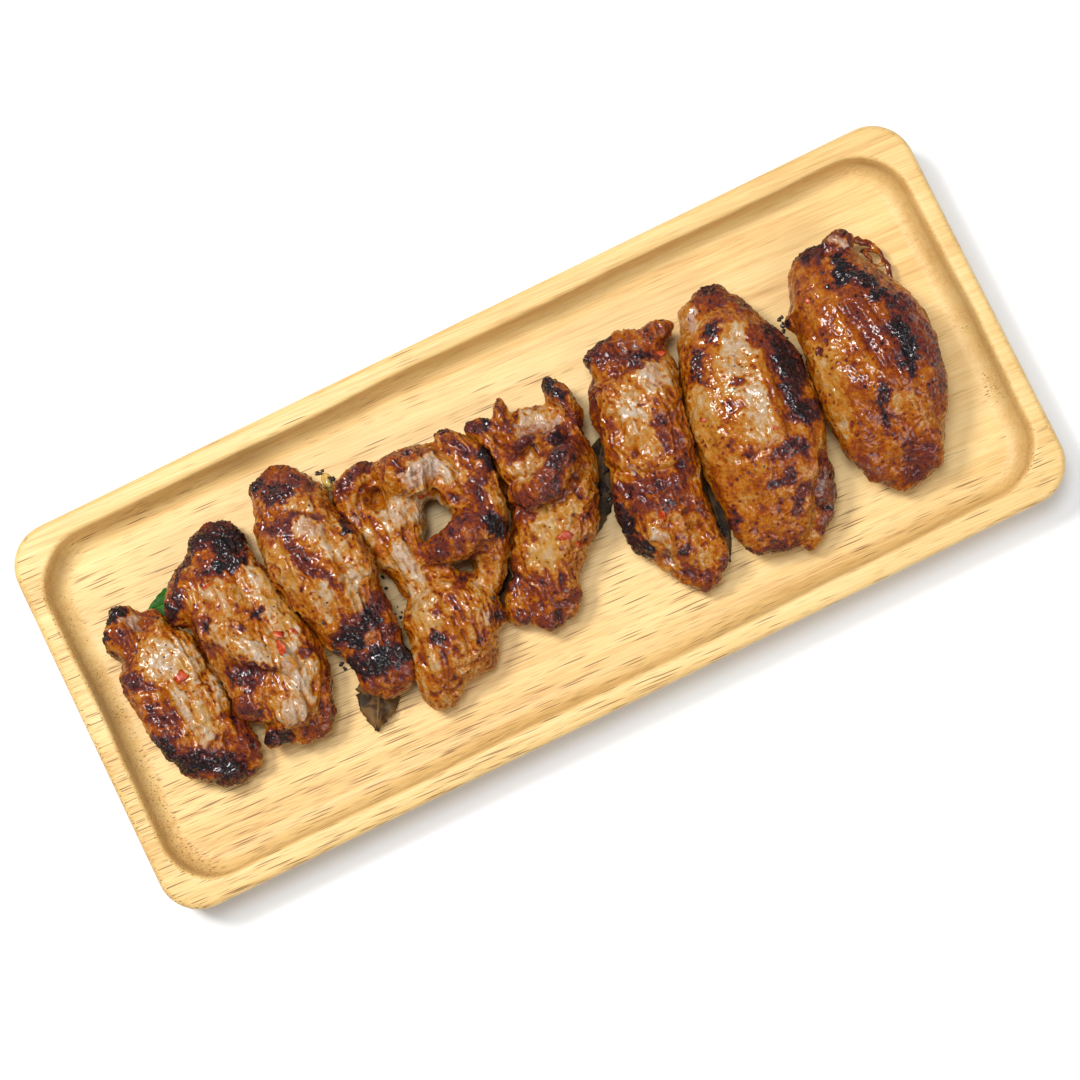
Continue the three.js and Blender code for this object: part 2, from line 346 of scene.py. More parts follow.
def adopt(piece, slot, *nodes):
    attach(piece, "root")
    if nodes:
        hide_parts(*nodes)
    print(f"{piece.name}: {len(piece.data.vertices)} vertices, {len(piece.data.polygons)} faces")


def fromBmesh(bm, name):
    mesh = bpy.data.meshes.new(name)
    bm.to_mesh(mesh)
    bm.free()
    return mesh


def setAttribute(mesh, name, values):
    layer = mesh.attributes.new(name, "FLOAT", "POINT")
    layer.data.foreach_set("value", np.asarray(values, np.float32))


def vertexArray(mesh, key="co"):
    values = np.empty(len(mesh.vertices) * 3, np.float32)
    mesh.vertices.foreach_get(key, values)
    return values.reshape(-1, 3).astype(float)


def onPlan(points):
    # Where points in millimetres show on the plan.
    spread = (planEye.z - rimZ / mm) / (planEye.z - points[:, 2])
    eye = np.array(planEye[:2])
    return eye + (points[:, :2] - eye) * spread[:, None]


def distanceTo(plan, route):
    # Distance on the plan to a route of one or more points, and the share of the way along it.
    points = np.array(route, float).reshape(-1, 2)
    if len(points) == 1:
        return np.linalg.norm(plan - points[0], axis=1)
    nearest = np.full(len(plan), 1e9)
    for start, end in zip(points, points[1:]):
        along = end - start
        share = np.clip((plan - start) @ along / (along @ along), 0, 1)
        nearest = np.minimum(nearest, np.linalg.norm(plan - start - share[:, None] * along, axis=1))
    return nearest


def smoothStep(low, high, values):
    share = np.clip((values - low) / (high - low), 0, 1)
    return share * share * (3 - 2 * share)


def sampleNoise(points, kind=noise.noise, shift=(0, 0, 0)):
    offset = Vector(shift)
    return np.array([kind(Vector(point) + offset) for point in points])


def sampleFractal(points, octaves, shift=(0, 0, 0), roughness=1.0):
    offset = Vector(shift)
    return np.array([noise.fractal(Vector(point) + offset, roughness, 2.0, octaves) for point in points])


def roundedLoop(halfLength, halfWidth, radius, cornerSteps=14, longSteps=60, shortSteps=24):
    points = []
    corners = ((1, 1, 0), (-1, 1, 90), (-1, -1, 180), (1, -1, 270))
    for index, (signX, signY, startAngle) in enumerate(corners):
        centre = Vector((signX * (halfLength - radius), signY * (halfWidth - radius)))
        for step in range(cornerSteps + 1):
            angle = math.radians(startAngle + 90 * step / cornerSteps)
            points.append(centre + radius * Vector((math.cos(angle), math.sin(angle))))
        nextX, nextY, _ = corners[(index + 1) % 4]
        nextCentre = Vector((nextX * (halfLength - radius), nextY * (halfWidth - radius)))
        nextAngle = math.radians(startAngle + 90)
        nextPoint = nextCentre + radius * Vector((math.cos(nextAngle), math.sin(nextAngle)))
        steps = longSteps if index % 2 == 0 else shortSteps
        last = points[-1].copy()
        points += [last.lerp(nextPoint, step / steps) for step in range(1, steps)]
    return points


trayLook = {
    "cornerRadius": 13,
    "bottomRounding": 1.6,
    "topRounding": 2.2,
    "recessHalf": (143.8, 56.2),
    "recessRadius": 17,
    "lipRounding": 1.5,
    "wallLean": 0.5,
    "coveRadius": 6.2,
    "handWaver": 0.8,
    "fineWaver": 0.12,
    "farCoveShade": 0.16,  # how dark the cove is painted along the far side, the near side and the ends: painted shade, heavier on the near side, and darker end grain at the ends as well
    "nearCoveShade": 0.5,
    "endCoveGrainAndShade": 1.0,
}


def arc(steps, start, end):
    return [math.radians(start + (end - start) * step / steps) for step in range(steps + 1)]


def follow(corner, fresh):
    # The new corner that was pulled out of an old one.
    ends = [edge.other_vert(corner) for edge in corner.link_edges]
    return next(vert for vert in ends if vert in fresh)


def makeTray():
    look = trayLook
    half = (trayHigh - trayLow) / 2 / mm
    thickness, floor = rimZ / mm, floorZ / mm
    cornerR, recessR = look["cornerRadius"], look["recessRadius"]
    bottomR, topR = look["bottomRounding"], look["topRounding"]
    lipR, coveR = look["lipRounding"], look["coveRadius"]
    recessX, recessY = look["recessHalf"]

    # Each ring is half length, half width, corner radius, height, and how dark it is painted in the cove,
    # which is painted shade together with the cove's darker cut grain.
    rings = []
    for angle in arc(5, -90, 0):
        inset = bottomR * (1 - math.cos(angle))
        height = bottomR * (1 + math.sin(angle))
        rings.append((half.x - inset, half.y - inset, cornerR - inset, height, 0))
    for angle in arc(7, 0, 90):
        inset = topR * (1 - math.cos(angle))
        height = thickness - topR * (1 - math.sin(angle))
        rings.append((half.x - inset, half.y - inset, cornerR - inset, height, 0))
    outerRings = len(rings)
    for angle in arc(6, 90, 0):
        inset = lipR * math.cos(angle) - lipR
        height = thickness - lipR * (1 - math.sin(angle))
        rings.append((recessX - inset, recessY - inset, recessR - inset, height, 0.35 * math.cos(angle)))
    for angle in arc(12, 180, 270):
        inset = look["wallLean"] + coveR * (1 + math.cos(angle))
        height = floor + coveR * (1 + math.sin(angle))
        shade = 1 - 0.75 * smoothStep(0.1, 1.0, inset / (coveR + look["wallLean"]))
        rings.append((recessX - inset, recessY - inset, recessR - inset, height, shade))
    for beyond, shade in ((1.5, 0.14), (3.0, 0.06), (5.0, 0.0)):
        inset = look["wallLean"] + coveR + beyond
        rings.append((recessX - inset, recessY - inset, recessR - 0.8 * inset, floor, shade))

    # The first ring is drawn, and each further one is extruded from the one before.
    bm = bmesh.new()
    coveShadeLayer = bm.verts.layers.float.new("cove")
    corners = [bm.verts.new(point.to_3d()) for point in roundedLoop(*rings[0][:3])]
    loop = [bm.edges.new(pair) for pair in zip(corners, corners[1:] + corners[:1])]
    bmesh.ops.contextual_create(bm, geom=loop)
    for index, (halfX, halfY, radius, height, cove) in enumerate(rings):
        if index > 0:
            made = bmesh.ops.extrude_edge_only(bm, edges=loop)["geom"]
            fresh = {part for part in made if isinstance(part, bmesh.types.BMVert)}
            edges = [part for part in made if isinstance(part, bmesh.types.BMEdge)]
            loop = [edge for edge in edges if fresh.issuperset(edge.verts)]
            corners = [follow(corner, fresh) for corner in corners]
        for vert, point in zip(corners, roundedLoop(halfX, halfY, radius)):
            place = Vector((point.x, point.y, height))
            dark = cove
            if index >= outerRings:
                wander = noise.fractal(place * 0.018 + Vector((5, 2, 0)), 1.0, 2.0, 3)
                chatter = noise.noise(Vector((point.x, point.y, 0)) * 0.11)
                outward = Vector((point.x / half.x ** 1.5, point.y / half.y ** 1.5, 0)).normalized()
                place += outward * (look["handWaver"] * wander + look["fineWaver"] * chatter)
                # Painted shade: the near side's cove is darker than the far side's, and the ends are darker
                # still, as end grain and shade.
                side = look["farCoveShade"] if point.y > 0 else look["nearCoveShade"]
                dark *= side + (look["endCoveGrainAndShade"] - side) * smoothStep(0.9, 0.96, abs(point.x) / recessX)
            vert.co = place * mm
            vert[coveShadeLayer] = dark
    bmesh.ops.contextual_create(bm, geom=loop)
    bmesh.ops.recalc_face_normals(bm, faces=bm.faces)
    mesh = fromBmesh(bm, "tray_look")
    piece = addObject("tray_look", mesh, rubberwood())
    adopt(piece, "wood", "tray")
    return piece


# paint: tone, radius, route. Tone runs from 0 for pale skin to 1 for char.
# flesh and fat: strength, radius, route. carve: height, radius, route; creases are below 0.
# rough: how wrinkled the skin is, 1 where it isn't given.
wingLooks = {
    "flat_1": {
        "base": 0.34,
        "paint": [
            (0.06, 5.0, [(-123, 10), (-115, 9), (-112, 3)]),
            (0.06, 3.5, [(-120, -3), (-118, -14)]),
            (0.10, 3.0, [(-110, 0), (-110, -9)]),
            (0.44, 3.2, [(-132, 12), (-131, -2)]),
            (0.55, 3.5, [(-133, 18), (-127, 22)]),
            (1.00, 2.4, [(-129, 28), (-125, 31)]),
            (0.92, 1.5, [(-134, 23), (-136, 18)]),
            (0.80, 1.0, [(-135, 13), (-134.5, 6)]),
            (0.76, 2.3, [(-130, 9), (-128.5, 6)]),
            (0.72, 2.2, [(-129, -3), (-126, -8)]),
            (0.75, 2.0, [(-127, -12)]),
            (0.68, 1.2, [(-113, -2), (-111, -4)]),
            (0.60, 1.4, [(-112, -14)]),
            (0.62, 1.2, [(-116, -17)]),
            (0.90, 4.2, [(-133, -13), (-131, -20), (-124, -22), (-118, -26), (-114, -30)]),
            (1.00, 2.2, [(-125, -22), (-117, -28)]),
            (0.80, 2.0, [(-122, -31), (-112, -34)]),
            (0.60, 3.3, [(-108, -18), (-106, -28)]),
            (0.52, 2.2, [(-105, -32)]),
            (0.65, 1.6, [(-115, 25)]),
        ],
        "flesh": [(0.9, 3.2, [(-123.5, 25)]), (0.5, 1.6, [(-122, -5), (-119, -20)])],
        "fat": [(0.8, 2.5, [(-115, 6)]), (0.8, 2.5, [(-117, -9), (-117, -14)])],
        "carve": [
            (-2.0, 1.5, [(-134, 13), (-127, 17), (-121, 23)]),
            (-1.0, 1.2, [(-126, 3), (-123, -8), (-122, -16)]),
            (-0.9, 1.2, [(-115, -4), (-113, -14)]),
            (0.9, 2.2, [(-130, 8)]),
            (0.7, 1.4, [(-120, -2), (-118, -18)]),
            (0.9, 3.0, [(-132, 12), (-131, 0), (-128, -10)]),
            (-0.9, 3.6, [(-121, 9), (-119, 2)]),
            (1.1, 3.2, [(-128, -18), (-117, -29)]),
            (-1.5, 1.2, [(-113, -20), (-111, -33)]),
            (1.8, 3.0, [(-106, -24), (-106, -31)]),
            (-1.6, 3.0, [(-136, 27)]),
        ],
    },
    "flat_2": {
        "base": 0.31,
        "paint": [
            (0.84, 4.0, [(-98, 37), (-90, 40), (-80, 35)]),
            (1.00, 3.0, [(-90, 33), (-84, 32), (-82, 35)]),
            (0.97, 2.6, [(-93, 28), (-86, 26)]),
            (0.30, 2.0, [(-100, 31), (-97, 33)]),
            (0.75, 2.4, [(-98, 29)]),
            (0.86, 2.4, [(-102, 35), (-109, 27), (-113, 20)]),
            (0.74, 2.0, [(-112, 14), (-110, 11)]),
            (0.50, 3.0, [(-107, 20), (-106, 12), (-107, 6)]),
            (0.16, 3.8, [(-97, 22), (-101, 10), (-96, 1), (-89, -6)]),
            (0.34, 2.6, [(-93, 20), (-94, 12)]),
            (0.02, 3.8, [(-84, 22), (-83, 10), (-83, 0), (-84, -8), (-86, -15)]),
            (0.95, 1.6, [(-88.5, 10)]),
            (0.70, 1.0, [(-94, 8.5)]),
            (0.45, 2.2, [(-80, 22), (-78.5, 5), (-77.5, -8)]),
            (0.12, 3.4, [(-93, -19), (-87, -21)]),
            (0.70, 2.3, [(-80, -7)]),
            (0.60, 2.8, [(-77, -15), (-80, -27), (-88, -31)]),
            (0.80, 2.6, [(-102, -5), (-100, -8)]),
            (0.70, 2.8, [(-105, -12), (-103, -17)]),
            # A dark line painted along the deepest crease, the first carve entry, as painted shade.
            (0.80, 1.2, [(-99, -2), (-93, -9)]),
            (0.25, 3.0, [(-99, -14), (-95, -15)]),
            (0.45, 1.8, [(-97, -20), (-99, -23)]),
            (0.86, 2.0, [(-104, -25), (-97, -27)]),
            (0.55, 2.0, [(-92, -30), (-86, -28)]),
        ],
        "flesh": [
            (0.6, 4.2, [(-92, -21)]),
            (0.3, 3.0, [(-97, 18), (-97, 5)]),
            (0.6, 2.0, [(-88, -8), (-86, -18)]),
        ],
        "fat": [(0.7, 3.5, [(-82, 20), (-81, 5)]), (0.6, 2.5, [(-94, 14)])],
        "carve": [
            (-2.2, 1.6, [(-102, -2), (-96, -8), (-89, -12)]),
            (-1.2, 1.4, [(-90, 24), (-89, 12), (-85, 0), (-82, -10)]),
            (-1.2, 1.3, [(-103, 20), (-105, 10), (-102, 0)]),
            (1.0, 3.0, [(-97, 18), (-99, 8), (-93, 0)]),
            (-1.4, 1.3, [(-103, -21), (-97, -23)]),
            (-2.6, 4.0, [(-111, 31), (-103, 38)]),
            (2.2, 3.5, [(-79, 34)]),
            (1.5, 3.0, [(-97, 38)]),
            (1.2, 4.0, [(-91, -20)]),
            (-1.0, 1.1, [(-96, 27), (-103, 22)]),
            (0.8, 1.0, [(-93, 20), (-95, 9), (-88, 0), (-85, -9)]),
        ],
    },
    "drumette_3": {
        "base": 0.42,
        "paint": [
            (0.62, 5.0, [(-72, 44), (-64, 46), (-60, 42)]),
            (0.86, 2.2, [(-72, 40), (-64, 39)]),
            (0.95, 1.4, [(-75, 45), (-72, 46)]),
            (0.30, 2.0, [(-75, 40)]),
            (0.26, 2.6, [(-66, 36), (-60, 33)]),
            (0.30, 4.0, [(-77, 27), (-76, 15), (-73, 5)]),
            (0.66, 2.4, [(-73, 31), (-66, 32), (-60, 29)]),
            (0.68, 2.2, [(-70, 28), (-71, 18), (-67, 12), (-62, 5)]),
            # This pale stroke is pale skin together with a painted broad highlight, which runs on into the
            # next stroke.
            (0.05, 3.3, [(-65, 28), (-61, 24), (-60, 19)]),
            (0.14, 3.8, [(-57, 22), (-56, 14), (-57, 8)]),
            (0.97, 1.3, [(-53, 24), (-53, 20)]),
            (0.16, 3.0, [(-69, 8), (-68, 0)]),
            (0.16, 2.5, [(-61, 8), (-60, 0)]),
            (0.70, 1.8, [(-54, 0), (-53, -4)]),
            (0.86, 3.6, [(-68, -8), (-58, -6)]),
            (0.97, 2.6, [(-66, -11)]),
            (0.97, 3.8, [(-62, -17), (-56, -20)]),
            (0.93, 2.8, [(-69, -17), (-64, -22)]),
            (0.75, 2.2, [(-55, -12)]),
            (0.60, 2.5, [(-68, -25), (-60, -27), (-54, -24)]),
            (0.48, 1.8, [(-62, -27)]),
        ],
        # The first flesh stroke lies on the painted broad highlight as well, adding pale grey.
        "flesh": [(0.6, 3.0, [(-65, 28), (-61, 24)]), (0.5, 1.6, [(-75, 41)]), (0.4, 2.5, [(-56, 17)])],
        "fat": [(0.5, 3.0, [(-77, 24), (-75, 12)])],
        "carve": [
            (-1.5, 1.3, [(-73, 22), (-71, 6), (-69, -8)]),
            (-1.1, 1.2, [(-60, 14), (-57, 0), (-57, -10)]),
            (-1.3, 1.4, [(-73, 34), (-66, 35), (-59, 31)]),
            (-0.9, 1.0, [(-66, 10), (-64, -4)]),
            (0.8, 2.5, [(-62, 25)]),
            (1.6, 3.2, [(-61, 45), (-59, 40)]),
            (2.4, 3.4, [(-55, -26), (-54, -20)]),
            (1.6, 3.0, [(-69, -24)]),
            (0.9, 1.3, [(-66, 12), (-68, -6)]),
            (0.9, 1.3, [(-63, 10), (-62, -8)]),
            (-1.3, 1.3, [(-77, 36), (-75, 26), (-76, 14)]),
        ],
    },
    "drumette_4": {
        "base": 0.31,
        "paint": [
            (0.70, 2.4, [(-52, 32), (-45, 35), (-39, 37)]),
            (0.95, 1.2, [(-39.5, 37)]),
            (0.50, 2.4, [(-46, 31)]),
            (0.30, 1.8, [(-43, 27), (-41, 32)]),
            (0.95, 1.4, [(-54, 26), (-52, 21)]),
            (0.32, 2.5, [(-46, 18), (-45, 10)]),
            (0.30, 3.6, [(-36, 31)]),
            (0.12, 4.2, [(-29, 27), (-22, 26)]),
            (0.80, 1.8, [(-32.5, 31.5)]),
            (0.60, 1.4, [(-35, 36), (-25, 35), (-20, 31)]),
            (0.02, 2.8, [(-22, 29), (-19, 22)]),
            (0.06, 4.2, [(-40, 18), (-33, 18), (-28, 16)]),
            (0.48, 3.6, [(-20, 17), (-15, 15)]),
            (0.92, 1.8, [(-17, 36.5), (-13, 36)]),
            (0.60, 2.4, [(-15, 31), (-10, 25)]),
            (0.97, 2.0, [(-7, 24), (-6, 20)]),
            (0.70, 2.8, [(-10, 18), (-13, 14)]),
            (0.60, 5.0, [(-34, 3), (-26, 5), (-20, 5), (-14, 6)]),
            (0.97, 2.6, [(-14, 6), (-12, 0)]),
            (0.80, 1.6, [(-22, 8)]),
            (0.50, 1.8, [(-30, -1), (-20, -3)]),
            (0.03, 3.4, [(-42, 8), (-41, 0), (-43, -6)]),
            (0.16, 3.8, [(-45, -10), (-43, -16)]),
            (0.66, 2.2, [(-31, -9), (-28, -7)]),
            (0.62, 1.8, [(-40, -13)]),
            (0.36, 2.6, [(-36, -17), (-30, -18)]),
            (0.88, 2.0, [(-45, -20), (-42, -22)]),
            (0.65, 1.8, [(-44, -26)]),
            (0.40, 3.4, [(-50, -34), (-46, -30)]),
            (0.60, 1.5, [(-56, -33)]),
            (0.50, 2.4, [(-33, -33)]),
            (0.15, 2.4, [(-27, -20)]),
            (0.80, 2.0, [(-24, -22)]),
        ],
        "flesh": [
            (0.9, 4.2, [(-30, 27), (-22, 26)]),
            (0.8, 1.8, [(-49, 24)]),
            (0.35, 4.5, [(-40, 18), (-30, 16)]),
            (0.5, 3.2, [(-42, 8), (-41, 0)]),
            (0.5, 2.2, [(-27, -20)]),
        ],
        "fat": [(0.6, 3.5, [(-45, -10), (-43, -16)])],
        "carve": [
            (-3.0, 2.2, [(-32, 31.5)]),
            (-2.5, 1.8, [(-48.5, 24)]),
            (-1.8, 1.3, [(-41, 34), (-41, 27), (-42, 20)]),
            (-1.4, 1.2, [(-26, 24), (-24, 17)]),
            (-1.2, 1.2, [(-47, 14), (-46, 0), (-47, -8)]),
            (0.8, 2.0, [(-29, 30), (-24, 28)]),
            (-1.8, 2.4, [(-38, 12), (-37, 6)]),
            (1.8, 2.4, [(-24, 17)]),
            (-1.3, 1.2, [(-37, -12), (-35, -28)]),
            (1.0, 2.6, [(-32, 3), (-22, 5)]),
            (-1.4, 1.3, [(-18, 30), (-15, 22), (-18, 12)]),
        ],
    },
    "drumette_5": {
        "base": 0.36,
        "paint": [
            (0.75, 2.2, [(-8, 34), (-4, 31)]),
            (0.95, 1.2, [(-7, 34.5)]),
            (0.90, 1.5, [(-2, 32)]),
            (0.45, 3.0, [(-4, 27)]),
            (0.70, 2.0, [(3, 34)]),
            (0.50, 1.0, [(4.5, 38)]),
            (0.55, 2.0, [(3, 29)]),
            (0.60, 1.5, [(8, 31), (16, 30)]),
            (0.12, 3.0, [(10, 28), (16, 25)]),
            (0.95, 2.2, [(19.5, 35), (22, 30)]),
            (0.68, 2.4, [(21, 26), (23, 20)]),
            (0.75, 1.3, [(1, 19), (6, 22), (9, 21)]),
            (0.92, 1.6, [(17, 18), (14, 19)]),
            (0.12, 2.6, [(0, 14), (6, 14), (0, 10)]),
            (0.62, 4.3, [(-4, 3), (4, 7), (12, 12), (18, 13)]),
            (0.86, 2.2, [(11, 12), (15, 13)]),
            (0.72, 2.6, [(0, 4), (7, 5)]),
            (0.42, 2.8, [(14, 5), (20, 8)]),
            (0.50, 2.4, [(-8, 8), (-10, 0)]),
            (0.14, 4.6, [(0, -4), (-3, -10), (-6, -15)]),
            (0.22, 3.2, [(10, -2), (5, -7)]),
            (0.68, 1.9, [(12.5, -6)]),
            (0.45, 3.6, [(-14, -18), (-6, -20), (2, -18)]),
            (0.60, 3.2, [(-8, -22), (-2, -26), (-12, -27)]),
            (0.70, 2.4, [(-18, -26)]),
            (0.62, 1.8, [(-12, -32), (-2, -33)]),
            (0.65, 2.0, [(-13, -10), (-16, -16)]),
        ],
        "flesh": [(0.7, 3.0, [(7, 26), (15, 23)]), (0.4, 1.2, [(4.5, 37)]), (0.3, 3, [(3, 13)])],
        "fat": [(0.8, 5.0, [(2, -3), (-4, -12)]), (0.7, 3.0, [(10, -3)])],
        "carve": [
            (-2.0, 1.6, [(-9, 7), (-2, -0.5), (8, 0), (18, 6)]),
            (-1.8, 1.5, [(-6, 12), (3, 12), (11, 17), (19, 17)]),
            (-1.2, 1.2, [(-1, 27), (1, 20)]),
            (-1.2, 1.2, [(18, 27), (19, 21)]),
            (-0.9, 1.2, [(-12, -12), (-14, -22)]),
            (2.4, 3.6, [(-1, -32), (1, -28)]),
            (2.0, 3.0, [(-17, -28), (-12, -31)]),
            (-2.0, 1.8, [(4, 25), (11, 26), (14, 24)]),
            (1.2, 1.3, [(1, 19), (6, 22), (10, 21)]),
            (1.3, 3.0, [(-3, 3), (4, 8), (12, 13), (17, 13)]),
        ],
    },
    "drumette_6": {
        "base": 0.34,
        "paint": [
            (0.80, 3.3, [(29, 32), (34, 37), (40, 38)]),
            (0.70, 2.8, [(38, 34), (42, 32)]),
            (0.65, 2.8, [(30, 28), (27, 22)]),
            (0.50, 3.6, [(46, 35), (55, 35)]),
            (0.55, 2.4, [(57, 33), (54, 28)]),
            (0.88, 1.8, [(48, 31), (51, 29)]),
            (0.65, 2.0, [(40, 29), (46, 27)]),
            (0.06, 5.2, [(50, 22)]),
            (0.05, 4.2, [(40, 18), (39, 10), (40, 5)]),
            (0.75, 1.1, [(42, 17)]),
            (0.35, 2.4, [(33, 22), (38, 25), (44, 24)]),
            (0.45, 2.8, [(29, 18), (31, 8)]),
            (0.55, 3.3, [(47, 12), (46, 3), (48, -3)]),
            (0.75, 1.4, [(46, 8)]),
            (0.66, 2.6, [(24, -5), (32, -7), (40, -9), (46, -8)]),
            (0.80, 1.8, [(36, -8)]),
            (0.95, 2.4, [(21, -8), (21, -18), (23, -25)]),
            (0.60, 2.8, [(28, -12), (36, -14)]),
            (0.60, 2.8, [(42, -14), (44, -20)]),
            (0.35, 2.6, [(38, -20)]),
            (0.08, 3.2, [(30, -23)]),
            (0.55, 2.4, [(28, -29)]),
            (1.00, 1.7, [(34.5, -29)]),
            (0.42, 2.8, [(40, -25), (42, -33)]),
            (0.60, 3.8, [(33, -37), (37, -42)]),
            (0.72, 1.8, [(43, -39), (45, -36)]),
        ],
        "flesh": [
            (0.35, 3.8, [(46, 35), (55, 35)]),
            (0.5, 5.0, [(50, 22)]),
            (0.9, 1.8, [(31, 0)]),
            (0.6, 3.0, [(30, -23)]),
            (0.8, 2.2, [(28.5, -29.5)]),
        ],
        "fat": [(0.4, 3.0, [(40, 8)]), (0.4, 3.0, [(36, -34)])],
        "carve": [
            (-1.5, 1.4, [(29, 30), (40, 28), (52, 29)]),
            (-1.6, 1.4, [(26, 2), (33, -4), (44, -6)]),
            (-2.4, 2.2, [(28.5, -30)]),
            (2.2, 3.6, [(41, -38), (45, -34)]),
            (-1.6, 1.5, [(44, 34), (52, 33)]),
            (0.8, 1.0, [(47, 22), (49, 26), (54, 24), (54, 19), (49, 18)]),
            (-1.2, 1.6, [(24, -12), (26, -26)]),
            (-1.2, 1.2, [(40, -12), (41, -30)]),
            (-1.0, 1.2, [(33, 16), (34, 4)]),
        ],
    },
    "flat_7": {
        "base": 0.33,
        "rough": 0.5,
        "paint": [
            (0.60, 4.0, [(72, 38), (82, 36)]),
            (0.80, 1.5, [(72, 40), (78, 40)]),
            (0.25, 2.8, [(68, 34), (66, 31)]),
            (0.60, 3.0, [(82, 34), (86, 28)]),
            (0.70, 3.6, [(71, 26)]),
            (1.00, 2.4, [(71, 26)]),
            (0.86, 1.8, [(64, 21.5), (62, 20)]),
            (0.80, 1.6, [(60, 16), (61, 13)]),
            (0.09, 5.0, [(76, 21), (72, 12), (75, 2), (72, -5)]),
            (0.60, 1.8, [(72, 9.5)]),
            (0.25, 3.6, [(58, 12), (55, 0)]),
            (0.50, 1.4, [(68, 2), (66, 6)]),
            (0.46, 2.3, [(79, 6), (80, -2)]),
            (0.56, 1.8, [(60, -8)]),
            (0.85, 2.4, [(87, 20), (89, 12), (90, 5)]),
            (0.92, 3.3, [(86, 12), (86, 2), (84, -5), (87, -8)]),
            (1.00, 1.8, [(90, 8)]),
            (1.00, 1.5, [(84, 0)]),
            (0.60, 2.3, [(82, 22), (84, 14)]),
            (0.38, 6.5, [(55, -18), (66, -25), (60, -35)]),
            (0.36, 3.6, [(60, -15)]),
            (0.75, 1.7, [(64, -12)]),
            (0.78, 2.0, [(72, -15), (78, -14), (80, -17)]),
            (0.80, 2.0, [(68, -23), (73, -22)]),
            (0.85, 1.8, [(53, -27)]),
            (0.93, 2.0, [(54, -39), (52, -37)]),
            (0.70, 2.4, [(76, -28), (70, -33)]),
            (0.70, 2.2, [(58, -41), (64, -42)]),
            (0.62, 3.2, [(84, -24), (82, -32), (76, -41)]),
            # The carved hollow at this spot is painted near char-dark as painted shade.
            (0.92, 1.6, [(78.5, -36.5)]),
            (0.70, 1.8, [(67, -46)]),
        ],
        "flesh": [
            (0.8, 2.2, [(68, 34), (66, 31)]),
            (0.45, 2.4, [(82, -31), (78, -38)]),
        ],
        "fat": [(0.4, 5.0, [(58, 8), (56, -4)])],
        "carve": [
            (-0.9, 1.2, [(62, 30), (72, 32), (81, 35)]),
            (-1.3, 1.3, [(85, -21), (79, -30), (72, -40)]),
            (-2.4, 1.8, [(78.5, -36.5)]),
            (0.8, 2.4, [(71, 26)]),
            (-0.8, 1.6, [(84, 16), (82, 0), (80, -10)]),
            (2.4, 3.4, [(53, -30), (54, -38)]),
            (-0.7, 1.2, [(56, -11), (66, -13), (78, -12)]),
        ],
    },
    "flat_8": {
        "base": 0.44,
        "rough": 0.5,
        "paint": [
            (0.82, 3.0, [(103, 34), (112, 36)]),
            (0.66, 2.8, [(116, 36), (119, 33)]),
            (0.12, 1.3, [(117, 34.5), (119.5, 33.5)]),
            (0.90, 1.1, [(112, 38), (117, 38.5), (121, 36)]),
            (0.42, 5.2, [(102, 29), (104, 22), (100, 14)]),
            (0.96, 2.3, [(115, 30), (114, 24), (118, 22), (121, 19)]),
            (0.95, 1.0, [(109, 23)]),
            (0.93, 1.6, [(123, 14), (119, 15)]),
            (0.22, 4.2, [(97, 8), (97, -2), (95, -10)]),
            (0.75, 1.3, [(97, 7)]),
            (0.10, 3.3, [(94, -17)]),
            (0.40, 3.4, [(105, 5), (104, -5)]),
            (0.60, 4.8, [(113, 16), (115, 6), (117, -4)]),
            (1.00, 3.0, [(122, 4), (123, -3), (120, -9)]),
            (0.80, 2.4, [(124, 10), (127, 5)]),
            (0.62, 2.4, [(128, 5), (129, -8), (126, -18)]),
            (0.90, 2.0, [(110, -12), (108, -18), (106, -22)]),
            (0.95, 1.2, [(112, -15)]),
            (0.30, 3.8, [(113, -18), (117, -22)]),
            (0.42, 3.8, [(100, -20), (104, -26)]),
            (0.55, 2.8, [(93, -25), (97, -33), (100, -37)]),
            (0.68, 3.8, [(110, -33), (107, -38)]),
            (0.92, 1.8, [(93, 19)]),
        ],
        "flesh": [
            (0.8, 1.8, [(117, 35), (119, 33)]),
            (0.3, 3.0, [(95, -29), (99, -36)]),
        ],
        "fat": [(0.5, 4.0, [(97, 6), (96, -6)])],
        "carve": [
            (-1.2, 1.2, [(112, 33), (118, 29)]),
            (-1.0, 1.2, [(111, 16), (113, 4), (116, -8)]),
            (-1.0, 1.2, [(117, 16), (119, 6), (121, -6)]),
            (0.9, 2.6, [(122, 0)]),
            (2.2, 3.4, [(117, -32), (113, -37)]),
            (2.4, 3.4, [(93, -24), (96, -33)]),
            (-0.7, 1.0, [(108, 20), (111, 4), (113, -6)]),
            (-0.8, 1.4, [(102, -12), (108, -24)]),
        ],
    },
}

wingRelief = {
    "coarseVoxel": 1.15,
    "roundingPasses": 6,
    "fineVoxel": 0.45,
    "lumps": 0.9,
    "folds": 0.5,
    "wrinkles": 0.45,
    "puckers": 0.25,
    "pebbles": 0.24,
    "crust": 0.75,
    "settle": 0.7,  # lowers the whole skin by what the relief adds
    "clearance": 0.25,  # between the skin and the recess floor
    "raggedPaint": 1.9,  # how far fine and broad noise move the edges of the paint
    "driftingPaint": 1.4,
    "driftingCarve": 0.8,
}


